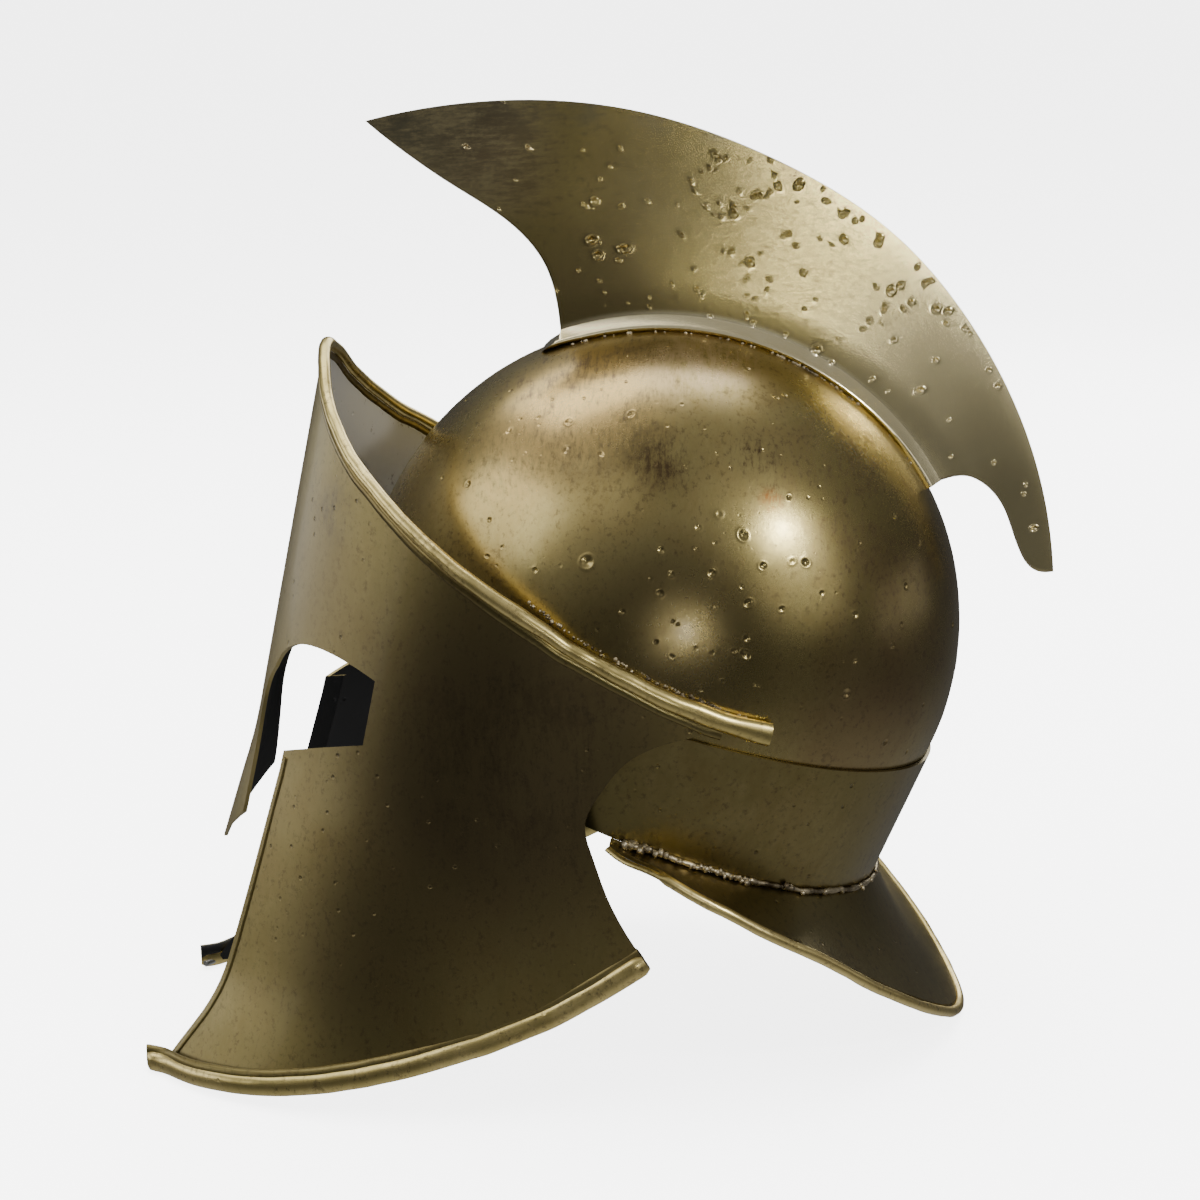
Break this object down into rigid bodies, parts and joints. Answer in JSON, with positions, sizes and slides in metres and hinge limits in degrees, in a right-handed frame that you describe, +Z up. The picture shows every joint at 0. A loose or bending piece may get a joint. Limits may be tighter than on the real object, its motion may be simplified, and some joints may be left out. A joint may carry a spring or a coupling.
{
  "type": "gladiator helmet",
  "caption": "Bronzed steel gladiator helmet: round bowl, tall swept crest, one-piece face plate with standing brow, eye openings and flared cheeks, flared neck guard and leather liner.",
  "frame": {"origin": "on the ground under the middle of the helmet, which rests on both cheek rims and the rear of the neck guard", "axes": "+Z up, -Y towards the face opening, +X the wearer's left"},
  "size_m": [0.2366, 0.3909, 0.3982],
  "materials": {
    "bronzed_shell": "aged antique brass over steel sheet, satin, pitted, black satin paint inside",
    "bronzed_crest": "aged antique brass over steel sheet, satin, pitted",
    "worn_rim": "antique brass rubbed bright",
    "weld_metal": "rough weld beads",
    "core_wire": "plain steel",
    "liner_leather": "dark brown vegetable-tanned leather",
    "pad_felt": "dark wool felt"
  },
  "bodies": {
    "root": {"skull_bowl": "bronzed_shell", "crest_left": "bronzed_crest", "crest_right": "bronzed_crest", "crest_weld_beads": "weld_metal", "face_plate": "bronzed_shell", "brow_rim_left": "worn_rim", "brow_rim_right": "worn_rim", "brow_wire_left": "core_wire", "brow_wire_right": "core_wire", "brow_weld_beads": "weld_metal", "cheek_rim_left": "worn_rim", "cheek_rim_right": "worn_rim", "cheek_wire_left": "core_wire", "cheek_wire_right": "core_wire", "neck_band": "bronzed_shell", "neck_guard": "bronzed_shell", "neck_guard_rim": "worn_rim", "neck_guard_wire": "core_wire", "neck_weld_seam": "weld_metal", "liner_headband": "liner_leather", "liner_crown": "liner_leather", "liner_lace": "liner_leather", "liner_pad": "pad_felt", "liner_bracket_front_left": "core_wire", "liner_bracket_front_right": "core_wire", "liner_bracket_rear_left": "core_wire", "liner_bracket_rear_right": "core_wire", "liner_rivets": "core_wire"}
  },
  "joints": []
}
